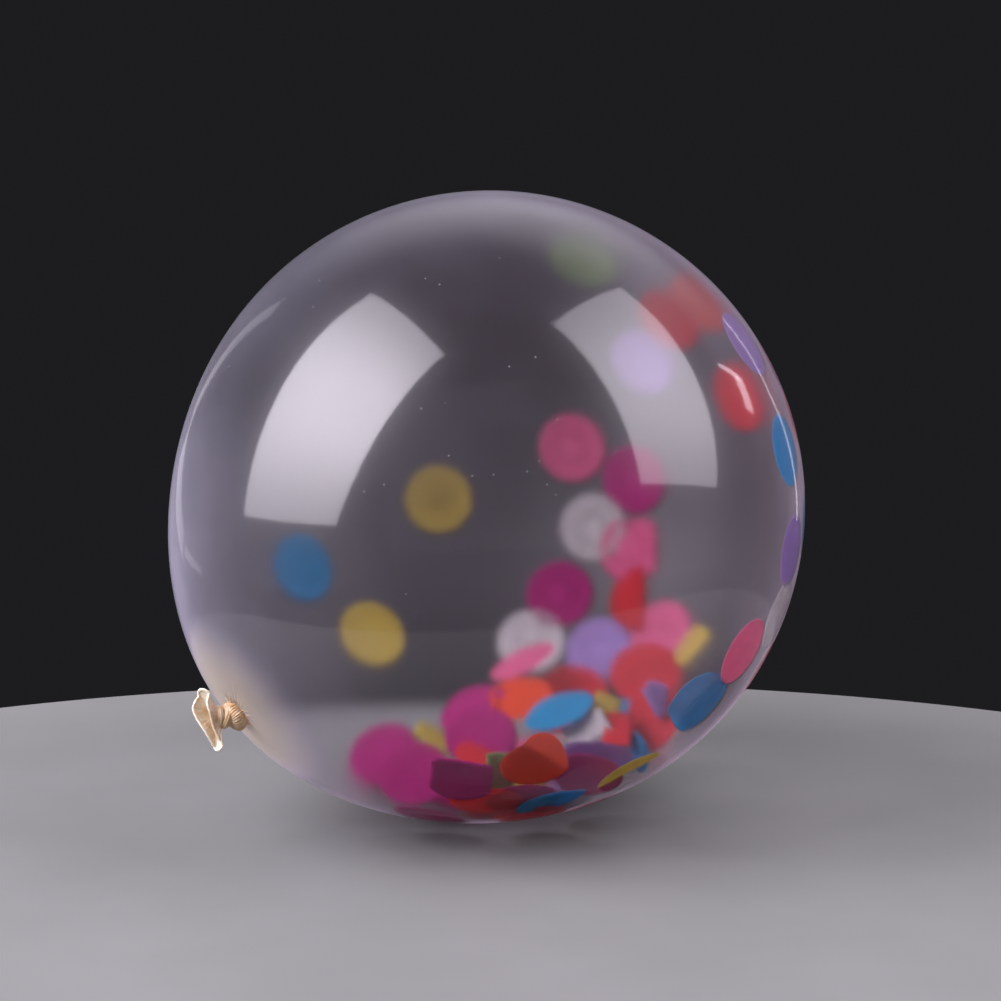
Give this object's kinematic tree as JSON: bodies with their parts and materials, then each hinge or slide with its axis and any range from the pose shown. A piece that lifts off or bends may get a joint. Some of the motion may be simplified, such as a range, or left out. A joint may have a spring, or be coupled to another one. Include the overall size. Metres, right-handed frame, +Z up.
{
  "type": "confetti balloon",
  "caption": "Round see-through latex balloon tied off with an overhand knot, filled with loose round paper confetti, lying on its side on a small flat.",
  "frame": {"origin": "middle of the small flat under the body, where the balloon rests on a table", "axes": "+Z up from the table, -Y to the front, where the neck's side shows, and the neck towards -X, to the left and front, and downwards"},
  "size_m": [0.2821, 0.2801, 0.2795],
  "materials": {
    "latex": "glossy, see-through and slightly milky",
    "gathered_latex": "unstretched cream latex, satin",
    "red_tissue": "matt tissue paper",
    "orange_tissue": "matt tissue paper",
    "yellow_tissue": "matt tissue paper",
    "green_tissue": "matt tissue paper",
    "blue_tissue": "matt tissue paper",
    "lilac_tissue": "matt tissue paper",
    "magenta_tissue": "matt tissue paper",
    "pink_tissue": "matt tissue paper",
    "white_tissue": "matt tissue paper"
  },
  "bodies": {
    "root": {"balloon": "latex"}
  },
  "joints": []
}
